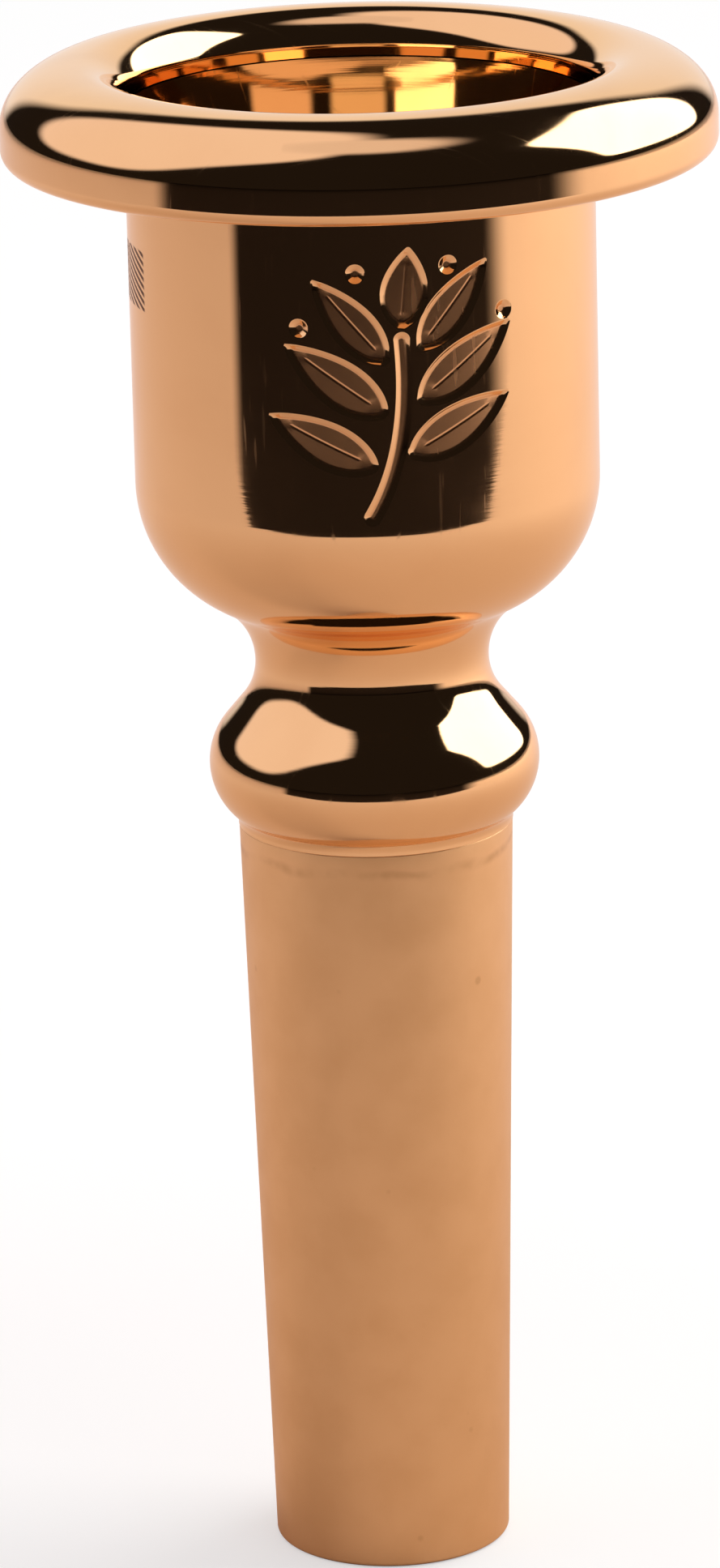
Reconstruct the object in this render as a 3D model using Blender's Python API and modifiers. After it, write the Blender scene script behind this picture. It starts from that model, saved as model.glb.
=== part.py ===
"""A brass-instrument mouthpiece in three screwed sections: rim, cup and tapered shank.

A rubber ring seals each of the two screw joints. The Z axis is the axis of the turning,
and the mouthpiece stands on the end of its shank at Z = 0. Dimensions are in millimetres
and become metres when a mesh is made.
"""

import math
from collections import namedtuple

import bpy

MM = 0.001
TURN_STEPS = 40  # facets round every turned piece
ARC_STEP = math.radians(15)  # turn of the outline from one point of an arc to the next
THREAD_ROWS = 6  # rows of points in one pitch of a thread

# Rim: a thick rounded ring with a threaded recess under it
RIM_TOP = 60.0
RIM_RADIUS = 13.75
RIM_CREST_RADIUS = 10.7
RIM_WIDEST = 57.65  # height where the ring is widest
RIM_UNDERSIDE = 56.35
RIM_CORNER = 0.55
BITE_RADIUS = 9.08  # inner edge of the rim
BITE_TOP = 58.55  # height where the rim's inner curve turns upright
RECESS_ROOF = 58.25

# Cup: threaded collar, straight wall, round bowl, waisted neck and a bead
COLLAR_TOP = 58.2
CUP_RADIUS = 9.0
CUP_FILLET = 0.45
BOWL_ARC = 5.4
BOWL_HEIGHT = 43.6  # where the straight wall meets the bowl
NECK_ARC = 2.8
NECK_FOOT_ARC = 2.5  # below the narrowest place, down to the straight slope of the bead
BEAD_ARC = 2.6
BEAD_RADIUS = 6.45
BEAD_HEIGHT = 32.2
BEAD_FOOT_RADIUS = 5.38
BEAD_FOOT_FILLET = 0.5
BEAD_FOOT = 29.75

# Inside: mouth, bowl, throat and a backbore that widens to the end of the shank
MOUTH_RADIUS = 9.02
UPPER_WALL = (8.22, 52.5)
BOWL_CORNER = (7.3, 45.0)
BOWL_CORNER_ARC = 5.0
THROAT_RADIUS = 2.85
THROAT_TOP = 41.2
THROAT_FOOT = 38.5
THROAT_FILLET = 1.5
BACKBORE_RADIUS = 3.75  # at the end of the shank

# Shank: a tapered tube with a threaded spigot that enters the bead
SHANK_TOP = 29.7
SHANK_TOP_RADIUS = 5.36
SHANK_END_RADIUS = 4.66
SHANK_TOP_CHAMFER = 0.08
SHANK_END_ROUND = 0.2
SPIGOT_TOP = 34.1
SPIGOT_LAND_RADIUS = 4.2
SPIGOT_LAND_TOP = 31.15
SOCKET_MOUTH_RADIUS = 4.43
SOCKET_MOUTH_TOP = 31.25
SOCKET_ROOF = 34.3

# Screw threads, right-handed: the nut side is the same thread moved out by the clearance
Thread = namedtuple("Thread", "core ridge pitch low high")
RIM_THREAD = Thread(core=10.15, ridge=0.28, pitch=0.5, low=56.5, high=58.05)
SHANK_THREAD = Thread(core=3.82, ridge=0.36, pitch=0.75, low=31.3, high=33.95)
THREAD_CLEARANCE = 0.1
THREAD_CHAMFER = 0.1

# Seal rings: radius of the ring, radius of its section, height of its centre
Ring = namedtuple("Ring", "radius section height")
RIM_RING = Ring(radius=9.55, section=0.22, height=57.95)
SHANK_RING = Ring(radius=4.08, section=0.3, height=30.5)
RING_CLEARANCE = 0.04
RING_SIDES = 8

GOLD_POLISHED = (0.93, 0.60, 0.31, 1.0)
GOLD_SATIN = (0.86, 0.54, 0.29, 1.0)
RUBBER_BLACK = (0.03, 0.03, 0.03, 1.0)


def arc(radius, height, half_width, half_height, start, end):
    """Points of an ellipse about (radius, height), from start to end in degrees."""
    first, last = math.radians(start), math.radians(end)
    count = max(1, math.ceil(abs(last - first) / ARC_STEP - 1e-6))
    angles = [first + (last - first) * i / count for i in range(count + 1)]
    return [
        (radius + half_width * math.cos(a), height + half_height * math.sin(a))
        for a in angles
    ]


def round_arc(centre, radius, start, end):
    return arc(centre[0], centre[1], radius, radius, start, end)


def filleted(before, corner, after, radius):
    """The arc that rounds the corner between two straight lines."""
    to_before = math.atan2(before[1] - corner[1], before[0] - corner[0])
    to_after = math.atan2(after[1] - corner[1], after[0] - corner[0])
    opening = (to_after - to_before + math.pi) % (2 * math.pi) - math.pi
    middle = to_before + opening / 2
    reach = radius / math.sin(abs(opening) / 2)
    centre = (
        corner[0] + reach * math.cos(middle),
        corner[1] + reach * math.sin(middle),
    )
    side = math.copysign(90, opening)
    start = math.degrees(to_before) - side
    turn = math.copysign(180, opening) - math.degrees(opening)
    return round_arc(centre, radius, start, start - turn)


def centre_touching(first, first_radius, second, second_radius, radius):
    """Centre of the circle outside two others that touches both, on the side away from the axis."""
    a, b = first_radius + radius, second_radius + radius
    across = (second[0] - first[0], second[1] - first[1])
    apart = math.hypot(*across)
    along = (a * a - b * b + apart * apart) / (2 * apart)
    off = math.sqrt(a * a - along * along)
    unit = (across[0] / apart, across[1] / apart)
    return (
        first[0] + unit[0] * along - unit[1] * off,
        first[1] + unit[1] * along + unit[0] * off,
    )


def bearing(centre, target):
    """Direction from one point to another, in degrees."""
    return math.degrees(math.atan2(target[1] - centre[1], target[0] - centre[0]))


def backbore(height):
    """Radius of the widening bore at a height below the throat."""
    share = (THROAT_FOOT - height) / THROAT_FOOT
    return THROAT_RADIUS + (BACKBORE_RADIUS - THROAT_RADIUS) * share


def thread_rows(radius, thread, upwards):
    """Evenly spaced points along the band that a thread is cut in."""
    count = round((thread.high - thread.low) / thread.pitch * THREAD_ROWS)
    rows = [
        (radius, thread.low + (thread.high - thread.low) * i / count)
        for i in range(count + 1)
    ]
    return rows if upwards else rows[::-1]


def nut_radius(thread):
    return thread.core + thread.ridge + THREAD_CLEARANCE


def collection_named(name):
    collection = bpy.data.collections.new(name)
    bpy.context.scene.collection.children.link(collection)
    return collection


def metal_or_rubber(name, colour, metallic, roughness):
    material = bpy.data.materials.new(name)
    material.use_nodes = True
    surface = material.node_tree.nodes["Principled BSDF"]
    surface.inputs["Base Color"].default_value = colour
    surface.inputs["Metallic"].default_value = metallic
    surface.inputs["Roughness"].default_value = roughness
    return material


def turned(name, outline, foot, material):
    """A closed outline, down the outside and up the inside, turned about Z."""
    mesh = bpy.data.meshes.new(name)
    points = [(radius * MM, 0.0, (height - foot) * MM) for radius, height in outline]
    count = len(points)
    mesh.from_pydata(points, [(i, (i + 1) % count) for i in range(count)], [])
    blank = bpy.data.objects.new(name + "_blank", mesh)
    bpy.context.scene.collection.objects.link(blank)
    screw = blank.modifiers.new("turning", "SCREW")
    screw.steps = screw.render_steps = TURN_STEPS
    screw.use_merge_vertices = True
    screw.merge_threshold = 0.000001
    bpy.context.view_layer.update()
    graph = bpy.context.evaluated_depsgraph_get()
    solid = bpy.data.meshes.new_from_object(blank.evaluated_get(graph))
    bpy.data.objects.remove(blank)
    bpy.data.meshes.remove(mesh)
    solid.name = name
    solid.materials.append(material)
    solid.shade_smooth()
    solid.set_sharp_from_angle(angle=math.radians(35))
    return bpy.data.objects.new(name, solid)


def cut_thread(piece, thread, foot, nut):
    """Waves the turned band in or out along a helix, fading at both ends of the thread."""
    blank = nut_radius(thread) if nut else thread.core
    for vertex in piece.data.vertices:
        x, y, z = (value / MM for value in vertex.co)
        radius, height = math.hypot(x, y), z + foot
        inside = thread.low < height < thread.high
        if not inside or abs(radius - blank) > 0.01:
            continue
        from_end = min(height - thread.low, thread.high - height)
        fade = min(1.0, from_end / (thread.pitch / 2))
        phase = math.cos(2 * math.pi * height / thread.pitch - math.atan2(y, x))
        change = -(1 - phase) / 2 if nut else (1 + phase) / 2
        scale = 1 + change * fade * thread.ridge / radius
        vertex.co.x *= scale
        vertex.co.y *= scale


def set_on(piece, parent, height, collection):
    """Puts a piece on its parent, with its own origin on the common axis at that height."""
    collection.objects.link(piece)
    piece.parent = parent
    piece.location.z = (height * MM) - (parent.matrix_world.translation.z if parent else 0)
    bpy.context.view_layer.update()


def make_rim(parent, collection, material):
    root = nut_radius(RIM_THREAD)
    outline = arc(
        RIM_CREST_RADIUS,
        RIM_WIDEST,
        RIM_RADIUS - RIM_CREST_RADIUS,
        RIM_TOP - RIM_WIDEST,
        90,
        0,
    )
    corner = (RIM_RADIUS - RIM_CORNER, RIM_UNDERSIDE + RIM_CORNER)
    outline += round_arc(corner, RIM_CORNER, 0, -90)
    outline += [(root + THREAD_CHAMFER, RIM_UNDERSIDE)]
    outline += thread_rows(root, RIM_THREAD, upwards=True)
    outline += [(root, RECESS_ROOF), (BITE_RADIUS, RECESS_ROOF)]
    outline += arc(
        RIM_CREST_RADIUS,
        BITE_TOP,
        RIM_CREST_RADIUS - BITE_RADIUS,
        RIM_TOP - BITE_TOP,
        180,
        90,
    )[:-1]
    rim = turned("rim", outline, COLLAR_TOP, material)
    cut_thread(rim, RIM_THREAD, COLLAR_TOP, nut=True)
    set_on(rim, parent, COLLAR_TOP, collection)
    return rim


def cup_outside():
    """From the foot of the collar down to the foot of the bead."""
    bowl = (CUP_RADIUS - BOWL_ARC, BOWL_HEIGHT)
    bead = (BEAD_RADIUS - BEAD_ARC, BEAD_HEIGHT)
    neck = centre_touching(bowl, BOWL_ARC, bead, BEAD_ARC, NECK_ARC)
    fillet_radius = BEAD_FOOT_RADIUS + BEAD_FOOT_FILLET
    fillet_reach = BEAD_ARC + BEAD_FOOT_FILLET
    fillet_drop = math.sqrt(fillet_reach**2 - (fillet_radius - bead[0]) ** 2)
    fillet = (fillet_radius, BEAD_HEIGHT - fillet_drop)
    under_collar = (CUP_RADIUS + CUP_FILLET, RIM_UNDERSIDE - CUP_FILLET)
    outline = round_arc(under_collar, CUP_FILLET, 90, 180)
    outline += round_arc(bowl, BOWL_ARC, 0, bearing(bowl, neck))
    neck_foot = (neck[0] - NECK_ARC + NECK_FOOT_ARC, neck[1])
    reach = (NECK_FOOT_ARC + BEAD_ARC) / math.dist(bead, neck_foot)
    slope = bearing(bead, neck_foot) - math.degrees(math.acos(reach))
    outline += round_arc(neck, NECK_ARC, 180 + bearing(bowl, neck), 180)[1:]
    outline += round_arc(neck_foot, NECK_FOOT_ARC, 180, 180 + slope)[1:]
    into_foot = 180 + bearing(bead, fillet)
    outline += round_arc(bead, BEAD_ARC, slope, bearing(bead, fillet))
    outline += round_arc(fillet, BEAD_FOOT_FILLET, into_foot, 180)[1:]
    return outline + [(BEAD_FOOT_RADIUS, BEAD_FOOT)]


def cup_socket():
    """The threaded socket in the bead, from its mouth up to its roof."""
    root = nut_radius(SHANK_THREAD)
    return [
        (SOCKET_MOUTH_RADIUS, BEAD_FOOT),
        (SOCKET_MOUTH_RADIUS, SOCKET_MOUTH_TOP - THREAD_CHAMFER),
        *thread_rows(root, SHANK_THREAD, upwards=True),
        (root, SOCKET_ROOF),
    ]


def cup_inside():
    """The air way, from the socket's roof up through the throat to the mouth."""
    throat = (THROAT_RADIUS, THROAT_TOP)
    foot = (THROAT_RADIUS, THROAT_FOOT)
    mouth = (MOUTH_RADIUS, COLLAR_TOP)
    outline = [(backbore(SOCKET_ROOF), SOCKET_ROOF), foot]
    outline += filleted(foot, throat, BOWL_CORNER, THROAT_FILLET)
    outline += filleted(throat, BOWL_CORNER, UPPER_WALL, BOWL_CORNER_ARC)
    outline += filleted(BOWL_CORNER, UPPER_WALL, mouth, BOWL_CORNER_ARC)
    return outline + [mouth]


def cup_collar():
    """The collar's top with its ring groove, then the thread down to its foot."""
    inner, outer, floor = groove_of(RIM_RING, RIM_RING.height - RIM_RING.section)
    core = RIM_THREAD.core
    return [
        (inner, COLLAR_TOP),
        (inner, floor),
        (outer, floor),
        (outer, COLLAR_TOP),
        (core - THREAD_CHAMFER, COLLAR_TOP),
        *thread_rows(core, RIM_THREAD, upwards=False),
        (core, RIM_UNDERSIDE),
    ]


def groove_of(ring, foot):
    """Inner radius, outer radius and floor of a groove that a ring lies in."""
    half = ring.section + RING_CLEARANCE
    return ring.radius - half, ring.radius + half, foot - RING_CLEARANCE


def make_cup(parent, collection, material):
    outline = cup_collar() + cup_outside() + cup_socket() + cup_inside()
    cup = turned("cup", outline, BEAD_FOOT, material)
    cut_thread(cup, RIM_THREAD, BEAD_FOOT, nut=False)
    cut_thread(cup, SHANK_THREAD, BEAD_FOOT, nut=True)
    set_on(cup, parent, BEAD_FOOT, collection)
    return cup


def make_shank(collection, material):
    core = SHANK_THREAD.core
    half_groove = SHANK_RING.section + RING_CLEARANCE
    groove_radius = SHANK_RING.radius - half_groove
    groove_top = SHANK_RING.height + half_groove
    groove_foot = SHANK_RING.height - half_groove
    end_round = (SHANK_END_RADIUS - SHANK_END_ROUND, SHANK_END_ROUND)
    outline = [
        (core - THREAD_CHAMFER, SPIGOT_TOP),
        *thread_rows(core, SHANK_THREAD, upwards=False),
        (core, SPIGOT_LAND_TOP),
        (SPIGOT_LAND_RADIUS, SPIGOT_LAND_TOP),
        (SPIGOT_LAND_RADIUS, groove_top),
        (groove_radius, groove_top),
        (groove_radius, groove_foot),
        (SPIGOT_LAND_RADIUS, groove_foot),
        (SPIGOT_LAND_RADIUS, SHANK_TOP),
        (SHANK_TOP_RADIUS - SHANK_TOP_CHAMFER, SHANK_TOP),
        (SHANK_TOP_RADIUS, SHANK_TOP - SHANK_TOP_CHAMFER),
        *round_arc(end_round, SHANK_END_ROUND, 0, -90),
        (BACKBORE_RADIUS, 0.0),
        (backbore(SPIGOT_TOP), SPIGOT_TOP),
    ]
    shank = turned("shank", outline, 0.0, material)
    cut_thread(shank, SHANK_THREAD, 0.0, nut=False)
    set_on(shank, None, 0.0, collection)
    return shank


def make_ring(name, ring, parent, collection, material):
    bpy.ops.mesh.primitive_torus_add(
        major_segments=TURN_STEPS,
        minor_segments=RING_SIDES,
        major_radius=ring.radius * MM,
        minor_radius=ring.section * MM,
    )
    seal = bpy.context.object
    seal.users_collection[0].objects.unlink(seal)
    seal.name = seal.data.name = name
    seal.data.materials.append(material)
    seal.data.shade_smooth()
    set_on(seal, parent, ring.height, collection)
    return seal


for old in list(bpy.data.objects):
    bpy.data.objects.remove(old)

polished = metal_or_rubber("polished_gold_plate", GOLD_POLISHED, 1.0, 0.06)
satin = metal_or_rubber("satin_gold_plate", GOLD_SATIN, 1.0, 0.38)
rubber = metal_or_rubber("black_rubber", RUBBER_BLACK, 0.0, 0.55)

mouthpiece = collection_named("mouthpiece")
shank_piece = make_shank(mouthpiece, satin)
make_ring("shank_o_ring", SHANK_RING, shank_piece, mouthpiece, rubber)
cup_piece = make_cup(shank_piece, mouthpiece, polished)
make_ring("rim_o_ring", RIM_RING, cup_piece, mouthpiece, rubber)
make_rim(cup_piece, mouthpiece, polished)
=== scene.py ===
"""The finished look of a brass-instrument mouthpiece: a satin shank, a polished cup and rim,
and the two rubber rings that seal its screw joints. Piece sizes are in millimetres."""

import math
from collections import namedtuple

import bpy
import bmesh
import numpy as np
from mathutils import Matrix, Vector
from mathutils.geometry import delaunay_2d_cdt


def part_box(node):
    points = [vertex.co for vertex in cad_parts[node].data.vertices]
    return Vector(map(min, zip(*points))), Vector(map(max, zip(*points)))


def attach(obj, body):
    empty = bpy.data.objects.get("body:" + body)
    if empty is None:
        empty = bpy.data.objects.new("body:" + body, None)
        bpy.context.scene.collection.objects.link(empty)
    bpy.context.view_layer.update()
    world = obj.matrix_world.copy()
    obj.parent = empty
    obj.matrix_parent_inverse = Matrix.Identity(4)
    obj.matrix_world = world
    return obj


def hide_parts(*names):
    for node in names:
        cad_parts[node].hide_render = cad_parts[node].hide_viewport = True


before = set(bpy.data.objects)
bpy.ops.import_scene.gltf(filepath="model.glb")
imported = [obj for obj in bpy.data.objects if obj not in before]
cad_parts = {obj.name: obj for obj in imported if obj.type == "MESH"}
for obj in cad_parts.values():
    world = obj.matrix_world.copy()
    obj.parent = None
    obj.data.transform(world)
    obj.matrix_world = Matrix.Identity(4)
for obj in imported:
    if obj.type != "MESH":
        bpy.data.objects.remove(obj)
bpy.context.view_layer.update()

# ---------------------------------------------------------------------------------------
# Shank. A brass tube turned to a slow taper, which wedges in the instrument's receiver.
# It is bored through, wider towards its end, and its threaded spigot enters the bead under
# the cup. Blasted with fine grit before the gold plating, so its skin is satin.

MM = 0.001
shank_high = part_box("shank")[1] / MM

SPIGOT_TOP = shank_high.z
SHANK_TOP_RADIUS = shank_high.x
SHANK_TOP = 29.745
SHANK_END_RADIUS = 4.66
SHANK_END_ROUND = 0.2
SHANK_TOP_ROUND = 0.04
SPIGOT_LAND_RADIUS = 4.2
SPIGOT_LAND_TOP = 31.15
THROAT_RADIUS = 2.85
THROAT_FOOT = 38.5
BORE_END_RADIUS = 3.75
SHANK_COLUMNS = 144

# Right-handed screw thread of a rounded section. The nut side is moved out by the clearance.
Thread = namedtuple("Thread", "core ridge pitch low high")
SHANK_THREAD = Thread(core=3.82, ridge=0.36, pitch=0.75, low=31.3, high=33.95)
THREAD_CLEARANCE = 0.1
THREAD_CHAMFER = 0.1
THREAD_ROWS = 14  # rows of points in one pitch

# Rubber ring in a joint: radius of the ring, radius of its section, height of its centre.
Ring = namedtuple("Ring", "radius section height")
SHANK_RING = Ring(radius=4.08, section=0.3, height=30.5)
RING_CLEARANCE = 0.04

ROUND_STEP = 3.0  # degrees from one point of a round outline to the next
LONGEST_STEP = 0.45  # longest straight step along an outline


def oval_arc(centre, half_width, half_height, start, end):
    """Points of an oval from one angle to another, in degrees."""
    count = max(2, round(abs(end - start) / ROUND_STEP))
    angles = [math.radians(start + (end - start) * i / count) for i in range(count + 1)]
    return [
        (centre[0] + half_width * math.cos(a), centre[1] + half_height * math.sin(a))
        for a in angles
    ]


def round_arc(centre, radius, start, end):
    return oval_arc(centre, radius, radius, start, end)


def bore_radius(height):
    """Radius of the widening air way at a height below the throat."""
    share = (THROAT_FOOT - height) / THROAT_FOOT
    return THROAT_RADIUS + (BORE_END_RADIUS - THROAT_RADIUS) * share


def nut_radius(thread):
    return thread.core + thread.ridge + THREAD_CLEARANCE


def thread_band(radius, thread, upwards):
    """Even rows of points along the band that a thread is cut in."""
    count = round((thread.high - thread.low) / thread.pitch * THREAD_ROWS)
    heights = np.linspace(thread.low, thread.high, count + 1)
    rows = [(radius, float(height)) for height in heights]
    return rows if upwards else rows[::-1]


def ring_groove(ring):
    half = ring.section + RING_CLEARANCE
    return ring.radius - half, ring.radius + half, ring.height - half, ring.height + half


def with_short_steps(outline):
    """The closed outline with its long straight runs divided."""
    fine = []
    for here, there in zip(outline, outline[1:] + outline[:1]):
        count = max(1, math.ceil(math.dist(here, there) / LONGEST_STEP))
        for i in range(count):
            share = i / count
            fine.append(tuple(a + (b - a) * share for a, b in zip(here, there)))
    return fine


def add(tree, kind, inputs=(), **settings):
    """Adds a node. Inputs pairs a socket with its value or with the output that feeds it."""
    made = tree.nodes.new(kind)
    for name, value in settings.items():
        setattr(made, name, value)
    for socket, value in dict(inputs).items():
        if isinstance(value, bpy.types.NodeSocket):
            tree.links.new(value, made.inputs[socket])
        else:
            made.inputs[socket].default_value = value
    return made


def maths(tree, operation, *values):
    return add(tree, "ShaderNodeMath", enumerate(values), operation=operation).outputs[0]


def from_axis(tree, x, y):
    """Distance from the axis of the turning."""
    square = maths(tree, "MULTIPLY_ADD", x, x, maths(tree, "MULTIPLY", y, y))
    return maths(tree, "SQRT", square)


def whole(tree, operation, *values):
    made = add(tree, "FunctionNodeIntegerMath", enumerate(values), operation=operation)
    return made.outputs[0]


def shape_tree(name, sockets):
    """An empty Geometry Nodes tree with named inputs, and its input and output nodes."""
    tree = bpy.data.node_groups.new(name, "GeometryNodeTree")
    face = tree.interface
    face.new_socket("Geometry", in_out="OUTPUT", socket_type="NodeSocketGeometry")
    face.new_socket("Geometry", in_out="INPUT", socket_type="NodeSocketGeometry")
    for label, kind in sockets.items():
        face.new_socket(label, in_out="INPUT", socket_type="NodeSocket" + kind)
    face.new_socket("Material", in_out="INPUT", socket_type="NodeSocketMaterial")
    given = tree.nodes.new("NodeGroupInput").outputs
    return tree, given


def close_tree(tree, given, geometry):
    """Ends a tree: real faces, in the piece's material."""
    real = add(tree, "GeometryNodeRealizeInstances", {"Geometry": geometry})
    inputs = {"Geometry": real.outputs[0], "Material": given["Material"]}
    done = add(tree, "GeometryNodeSetMaterial", inputs)
    add(tree, "NodeGroupOutput", {0: done.outputs[0]})


def lathe():
    """Turns a closed outline about Z. Columns can stand closer together at the front."""
    sockets = {
        "Outline": "Object",
        "Start Angle": "Float",
        "Front Columns": "Int",
        "Front Step": "Float",
        "Rest Columns": "Int",
    }
    tree, given = shape_tree("lathe", sockets)
    outline = add(tree, "GeometryNodeObjectInfo", {"Object": given["Outline"]})
    outline = outline.outputs["Geometry"]
    size = add(tree, "GeometryNodeAttributeDomainSize", {"Geometry": outline})
    count = size.outputs["Point Count"]
    rows = whole(tree, "ADD", count, 1)
    columns = whole(tree, "ADD", given["Front Columns"], given["Rest Columns"])
    size = {"Vertices X": whole(tree, "ADD", columns, 1), "Vertices Y": rows}
    sheet = add(tree, "GeometryNodeMeshGrid", size).outputs["Mesh"]
    index = tree.nodes.new("GeometryNodeInputIndex").outputs[0]
    column = whole(tree, "DIVIDE_FLOOR", index, rows)
    row = whole(tree, "MODULO", whole(tree, "MODULO", index, rows), count)
    front = maths(tree, "MINIMUM", column, given["Front Columns"])
    rest = maths(tree, "SUBTRACT", column, front)
    front_sweep = maths(tree, "MULTIPLY", given["Front Columns"], given["Front Step"])
    rest_sweep = maths(tree, "SUBTRACT", 2 * math.pi, front_sweep)
    rest_step = maths(tree, "DIVIDE", rest_sweep, given["Rest Columns"])
    angle = maths(tree, "MULTIPLY_ADD", front, given["Front Step"], given["Start Angle"])
    angle = maths(tree, "MULTIPLY_ADD", rest, rest_step, angle)
    place = tree.nodes.new("GeometryNodeInputPosition").outputs[0]
    point = add(
        tree,
        "GeometryNodeSampleIndex",
        {"Geometry": outline, "Value": place, "Index": row},
        data_type="FLOAT_VECTOR",
    )
    point = add(tree, "ShaderNodeSeparateXYZ", {0: point.outputs[0]}).outputs
    x = maths(tree, "MULTIPLY", point["X"], maths(tree, "COSINE", angle))
    y = maths(tree, "MULTIPLY", point["X"], maths(tree, "SINE", angle))
    place = add(tree, "ShaderNodeCombineXYZ", {"X": x, "Y": y, "Z": point["Z"]})
    inputs = {"Geometry": sheet, "Position": place.outputs[0]}
    turned_sheet = add(tree, "GeometryNodeSetPosition", inputs).outputs[0]
    inputs = {"Geometry": turned_sheet, "Distance": 0.0000001}
    closed = add(tree, "GeometryNodeMergeByDistance", inputs).outputs[0]
    outward = add(tree, "GeometryNodeFlipFaces", {"Mesh": closed}).outputs[0]
    close_tree(tree, given, outward)
    return tree


def thread_die():
    """Cuts a screw thread: waves a turned band in or out along a helix that fades at its ends."""
    names = ("Band Radius", "Side", "Ridge", "Pitch", "Low", "High")
    tree, given = shape_tree("thread_die", {name: "Float" for name in names})
    place = tree.nodes.new("GeometryNodeInputPosition").outputs[0]
    x, y, z = add(tree, "ShaderNodeSeparateXYZ", {0: place}).outputs
    radius = from_axis(tree, x, y)
    off_band = maths(tree, "ABSOLUTE", maths(tree, "SUBTRACT", radius, given["Band Radius"]))
    on_band = maths(tree, "LESS_THAN", off_band, 0.00001)
    above = maths(tree, "SUBTRACT", z, given["Low"])
    below = maths(tree, "SUBTRACT", given["High"], z)
    from_end = maths(tree, "MAXIMUM", maths(tree, "MINIMUM", above, below), 0.0)
    half_pitch = maths(tree, "MULTIPLY", given["Pitch"], 0.5)
    fade = maths(tree, "MINIMUM", maths(tree, "DIVIDE", from_end, half_pitch), 1.0)
    turns = maths(tree, "DIVIDE", z, given["Pitch"])
    around = maths(tree, "ARCTAN2", y, x)
    phase = maths(tree, "SUBTRACT", maths(tree, "MULTIPLY", turns, 2 * math.pi), around)
    wave = maths(tree, "ADD", maths(tree, "COSINE", phase), given["Side"])
    height = maths(tree, "MULTIPLY", maths(tree, "MULTIPLY", wave, 0.5), given["Ridge"])
    change = maths(tree, "MULTIPLY", maths(tree, "MULTIPLY", height, fade), on_band)
    scale = maths(tree, "ADD", maths(tree, "DIVIDE", change, radius), 1.0)
    stretch = add(tree, "ShaderNodeCombineXYZ", {"X": scale, "Y": scale, "Z": 1.0}).outputs[0]
    moved = add(tree, "ShaderNodeVectorMath", {0: place, 1: stretch}, operation="MULTIPLY")
    inputs = {"Geometry": given["Geometry"], "Position": moved.outputs[0]}
    close_tree(tree, given, add(tree, "GeometryNodeSetPosition", inputs).outputs[0])
    return tree


def put_through(blank, tree, values):
    """Gives an object one of the trees as a modifier, with its named inputs set."""
    modifier = blank.modifiers.new(tree.name, "NODES")
    modifier.node_group = tree
    for item in tree.interface.items_tree:
        if item.in_out == "INPUT" and item.name in values:
            modifier[item.identifier] = values[item.name]


def in_scene(name, mesh):
    made = bpy.data.objects.new(name, mesh)
    bpy.context.scene.collection.objects.link(made)
    return made


LATHE, THREAD_DIE = lathe(), thread_die()
SHARP_CORNER = math.radians(32)


def turned(name, outline, material, columns, threads=(), front=(0, 0.0, 0.0)):
    """A closed outline, down the outside and up the inside, turned about Z and threaded."""
    front_columns, front_step, start_angle = front
    points = [(r * MM, 0.0, z * MM) for r, z in with_short_steps(outline)]
    ends = [(i, (i + 1) % len(points)) for i in range(len(points))]
    pattern_mesh = bpy.data.meshes.new(name + "_outline")
    pattern_mesh.from_pydata(points, ends, [])
    pattern = in_scene(name + "_outline", pattern_mesh)
    blank = in_scene(name + "_blank", bpy.data.meshes.new(name + "_blank"))
    sizes = {
        "Outline": pattern,
        "Start Angle": start_angle,
        "Front Columns": front_columns,
        "Front Step": front_step,
        "Rest Columns": columns,
        "Material": material,
    }
    put_through(blank, LATHE, sizes)
    for thread, is_nut in threads:
        cut = {
            "Band Radius": (nut_radius(thread) if is_nut else thread.core) * MM,
            "Side": -1.0 if is_nut else 1.0,
            "Ridge": thread.ridge * MM,
            "Pitch": thread.pitch * MM,
            "Low": thread.low * MM,
            "High": thread.high * MM,
            "Material": material,
        }
        put_through(blank, THREAD_DIE, cut)
    bpy.context.view_layer.update()
    graph = bpy.context.evaluated_depsgraph_get()
    mesh = bpy.data.meshes.new_from_object(blank.evaluated_get(graph))
    for scrap in (blank, pattern):
        bpy.data.objects.remove(scrap)
    mesh.name = name
    mesh.materials.clear()
    mesh.materials.append(material)
    mesh.polygons.foreach_set("material_index", [0] * len(mesh.polygons))
    mesh.shade_smooth()
    mesh.set_sharp_from_angle(angle=SHARP_CORNER)
    return in_scene(name, mesh)


def effect(name, inputs, outputs):
    """A shader node group with named float inputs, given as name: default, and named outputs."""
    tree = bpy.data.node_groups.new(name, "ShaderNodeTree")
    for label, value in inputs.items():
        socket = tree.interface.new_socket(label, in_out="INPUT", socket_type="NodeSocketFloat")
        socket.default_value = value
    for label in outputs:
        tree.interface.new_socket(label, in_out="OUTPUT", socket_type="NodeSocketFloat")
    return tree, tree.nodes.new("NodeGroupInput").outputs


def place_of(tree):
    return tree.nodes.new("ShaderNodeTexCoord").outputs["Object"]


def stepped(tree, value, low, high, to_low=0.0, to_high=1.0):
    """Moves a value from one range to another with a soft start and stop."""
    inputs = {"Value": value, 1: low, 2: high, 3: to_low, 4: to_high}
    kind = "SMOOTHSTEP"
    return add(tree, "ShaderNodeMapRange", inputs, interpolation_type=kind).outputs[0]


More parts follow.
